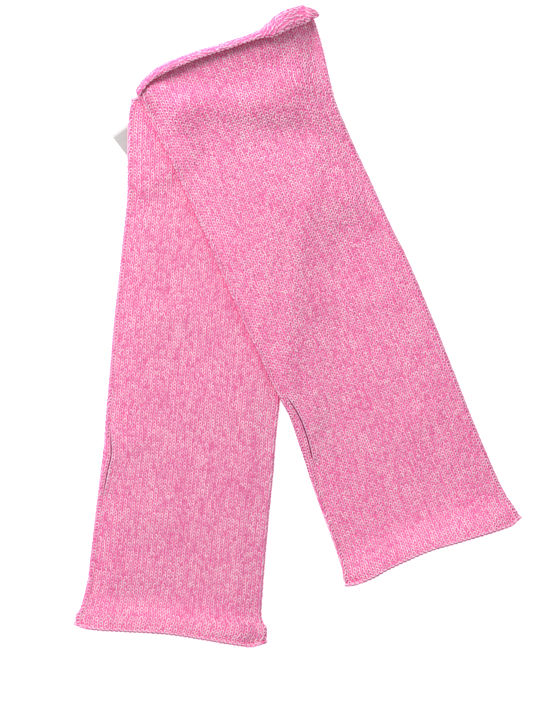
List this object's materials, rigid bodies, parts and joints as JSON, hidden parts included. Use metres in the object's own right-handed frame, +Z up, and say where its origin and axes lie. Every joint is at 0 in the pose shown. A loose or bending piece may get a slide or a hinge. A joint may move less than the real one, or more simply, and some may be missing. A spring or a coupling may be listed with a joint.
{
  "type": "pair of knitted arm warmers",
  "caption": "Pair of plain knitted arm warmers with thumb slits and rolled ends, laid flat with one crossed over the other.",
  "frame": {"origin": "on the surface that the pair lies on, in the middle of the pair seen from above", "axes": "+Z up from the surface, +Y towards the arm ends, +X towards the hand end of the upper warmer"},
  "size_m": [0.2501, 0.3567, 0.0242],
  "materials": {
    "knit": "soft brushed wool knit with a mottled pink yarn",
    "label": "smooth woven ribbon, blank"
  },
  "bodies": {
    "root": {"lower_warmer": "knit", "upper_warmer": "knit", "label": "label"}
  },
  "joints": []
}
